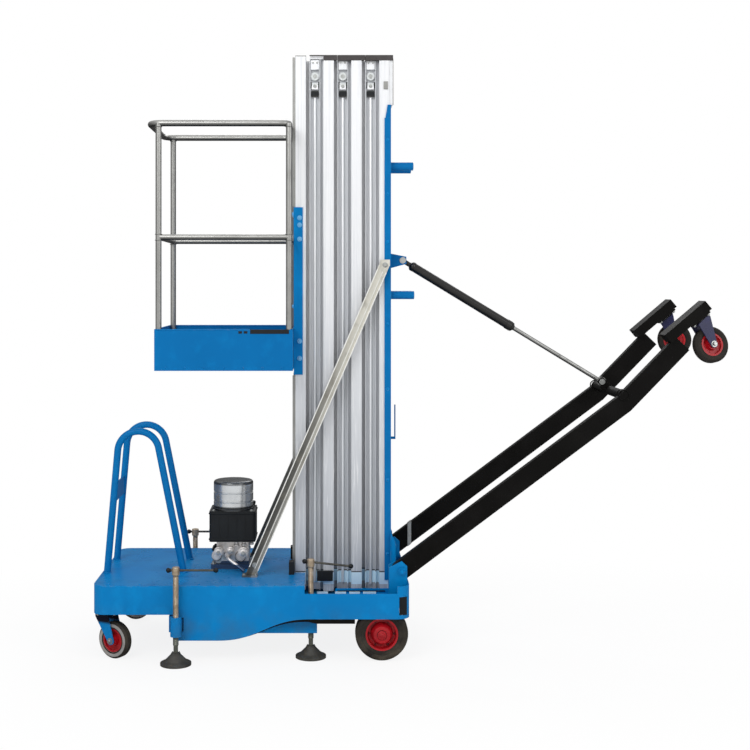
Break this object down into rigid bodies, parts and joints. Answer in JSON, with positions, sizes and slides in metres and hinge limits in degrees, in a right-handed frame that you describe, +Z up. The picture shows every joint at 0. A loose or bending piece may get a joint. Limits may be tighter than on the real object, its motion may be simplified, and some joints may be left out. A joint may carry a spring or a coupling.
{
  "type": "vertical mast lift",
  "caption": "Push-around aluminium mast lift with a railed one-person platform, screw jacks, rear wheels, swivel casters and hinged loading arms.",
  "frame": {"origin": "on the floor, in the middle of the overall length and width", "axes": "+X towards the loading arms, +Y to the far side, +Z up along the mast"},
  "size_m": [2.8373, 1.028, 2.72],
  "materials": {
    "blue_paint": "gloss",
    "black_paint": "satin",
    "dark_metal": "matte",
    "mast_aluminium": "satin",
    "bright_steel": "polished",
    "tube_steel": "satin",
    "screw_steel": "worn",
    "motor_casting": "satin",
    "valve_metal": "satin",
    "black_plastic": "matte",
    "black_tyre": "matte",
    "grey_tyre": "matte",
    "red_hub": "gloss"
  },
  "bodies": {
    "chassis": {"base_frame": "blue_paint", "base_floor": "blue_paint", "base_deck": "blue_paint", "jack_housings": "blue_paint", "rear_axle": "dark_metal", "push_handles": "blue_paint", "mast_foot": "blue_paint", "mast_section_1": "mast_aluminium", "section_1_fittings": "bright_steel", "mast_back_plate": "blue_paint", "mast_struts": "tube_steel", "pump_motor": "motor_casting", "pump_tank": "black_plastic", "pump_valves": "valve_metal", "lift_cylinder": "dark_metal"},
    "section_2": {"mast_section_2": "mast_aluminium", "section_2_fittings": "bright_steel", "lift_rod": "bright_steel"},
    "section_3": {"mast_section_3": "mast_aluminium", "section_3_fittings": "bright_steel"},
    "section_4": {"mast_section_4": "mast_aluminium", "section_4_fittings": "mast_aluminium", "platform_carriage": "blue_paint", "platform_tray": "blue_paint", "platform_rails": "tube_steel"},
    "arms": {"loading_arms": "black_paint"},
    "damper_tube": {"damper_barrel": "black_paint"},
    "damper_piston": {"damper_rod": "bright_steel"},
    "rear_wheel_near": {"rear_tyre_near": "black_tyre", "rear_hub_near": "red_hub"},
    "caster_near": {"caster_fork_near": "blue_paint"},
    "caster_wheel_near": {"caster_tyre_near": "grey_tyre", "caster_hub_near": "red_hub"},
    "outrigger_near": {"outrigger_beam_near": "blue_paint"},
    "jack_front_near": {"jack_screw_front_near": "screw_steel", "jack_pad_front_near": "dark_metal"},
    "jack_rear_near": {"jack_screw_rear_near": "screw_steel", "jack_pad_rear_near": "dark_metal"},
    "arm_caster_near": {"arm_fork_near": "blue_paint"},
    "arm_wheel_near": {"arm_tyre_near": "black_tyre", "arm_hub_near": "red_hub"},
    "rear_wheel_far": {"rear_tyre_far": "black_tyre", "rear_hub_far": "red_hub"},
    "caster_far": {"caster_fork_far": "blue_paint"},
    "caster_wheel_far": {"caster_tyre_far": "grey_tyre", "caster_hub_far": "red_hub"},
    "outrigger_far": {"outrigger_beam_far": "blue_paint"},
    "jack_front_far": {"jack_screw_front_far": "screw_steel", "jack_pad_front_far": "dark_metal"},
    "jack_rear_far": {"jack_screw_rear_far": "screw_steel", "jack_pad_rear_far": "dark_metal"},
    "arm_caster_far": {"arm_fork_far": "blue_paint"},
    "arm_wheel_far": {"arm_tyre_far": "black_tyre", "arm_hub_far": "red_hub"}
  },
  "joints": [
    {"name": "mast_slide_2", "type": "slide", "parent": "chassis", "child": "section_2", "axis": [0, 0, 1], "range_m": [0, 2.1]},
    {"name": "mast_slide_3", "type": "slide", "parent": "section_2", "child": "section_3", "axis": [0, 0, 1], "range_m": [0, 2.1]},
    {"name": "mast_slide_4", "type": "slide", "parent": "section_3", "child": "section_4", "axis": [0, 0, 1], "range_m": [0, 2.1]},
    {"name": "arm_hinge", "type": "hinge", "parent": "chassis", "child": "arms", "pos_m": [-0.0494, 0, 0.38], "axis": [0, -1, 0], "range_deg": [-3, 20]},
    {"name": "damper_hinge", "type": "hinge", "parent": "chassis", "child": "damper_tube", "pos_m": [-0.0264, 0, 1.776], "axis": [0, -1, 0], "range_deg": [-1, 6]},
    {"name": "damper_slide", "type": "slide", "parent": "damper_tube", "child": "damper_piston", "axis": [0.8539, 0, -0.5204], "range_m": [-0.44, 0.07]},
    {"name": "rear_wheel_near", "type": "hinge", "parent": "chassis", "child": "rear_wheel_near", "pos_m": [-0.1424, -0.364, 0.117], "axis": [0, 1, 0], "continuous": true},
    {"name": "caster_swivel_near", "type": "hinge", "parent": "chassis", "child": "caster_near", "pos_m": [-1.3694, -0.315, 0.15], "axis": [0, 0, 1], "continuous": true},
    {"name": "caster_wheel_near", "type": "hinge", "parent": "caster_near", "child": "caster_wheel_near", "pos_m": [-1.32783, -0.339, 0.081], "axis": [0.5, 0.866, 0], "continuous": true},
    {"name": "outrigger_near", "type": "slide", "parent": "chassis", "child": "outrigger_near", "axis": [0, -1, 0], "range_m": [0, 0.3]},
    {"name": "jack_front_near", "type": "slide", "parent": "outrigger_near", "child": "jack_front_near", "axis": [0, 0, 1], "range_m": [-0.05, 0.03]},
    {"name": "jack_rear_near", "type": "slide", "parent": "chassis", "child": "jack_rear_near", "axis": [0, 0, 1], "range_m": [-0.05, 0.03]},
    {"name": "arm_swivel_near", "type": "hinge", "parent": "arms", "child": "arm_caster_near", "pos_m": [1.28251, -0.285, 1.51137], "axis": [-0.6468, 0, 0.7627], "continuous": true},
    {"name": "arm_wheel_near", "type": "hinge", "parent": "arm_caster_near", "child": "arm_wheel_near", "pos_m": [1.33679, -0.29547, 1.39089], "axis": [-0.2102, 0.9613, -0.1783], "continuous": true},
    {"name": "rear_wheel_far", "type": "hinge", "parent": "chassis", "child": "rear_wheel_far", "pos_m": [-0.1424, 0.364, 0.117], "axis": [0, 1, 0], "continuous": true},
    {"name": "caster_swivel_far", "type": "hinge", "parent": "chassis", "child": "caster_far", "pos_m": [-1.3694, 0.315, 0.15], "axis": [0, 0, 1], "continuous": true},
    {"name": "caster_wheel_far", "type": "hinge", "parent": "caster_far", "child": "caster_wheel_far", "pos_m": [-1.32783, 0.339, 0.081], "axis": [-0.5, 0.866, 0], "continuous": true},
    {"name": "outrigger_far", "type": "slide", "parent": "chassis", "child": "outrigger_far", "axis": [0, 1, 0], "range_m": [0, 0.3]},
    {"name": "jack_front_far", "type": "slide", "parent": "outrigger_far", "child": "jack_front_far", "axis": [0, 0, 1], "range_m": [-0.05, 0.03]},
    {"name": "jack_rear_far", "type": "slide", "parent": "chassis", "child": "jack_rear_far", "axis": [0, 0, 1], "range_m": [-0.05, 0.03]},
    {"name": "arm_swivel_far", "type": "hinge", "parent": "arms", "child": "arm_caster_far", "pos_m": [1.28251, 0.285, 1.51137], "axis": [-0.6468, 0, 0.7627], "continuous": true},
    {"name": "arm_wheel_far", "type": "hinge", "parent": "arm_caster_far", "child": "arm_wheel_far", "pos_m": [1.33679, 0.29547, 1.39089], "axis": [0.2102, 0.9613, 0.1783], "continuous": true}
  ],
  "couplings": [
    {"joint": "mast_slide_3", "follows": "mast_slide_2", "ratio": 1},
    {"joint": "mast_slide_4", "follows": "mast_slide_2", "ratio": 1},
    {"joint": "damper_hinge", "follows": "arm_hinge", "ratio": 0.285},
    {"joint": "damper_slide", "follows": "arm_hinge", "m_per_rad": -1.232}
  ]
}
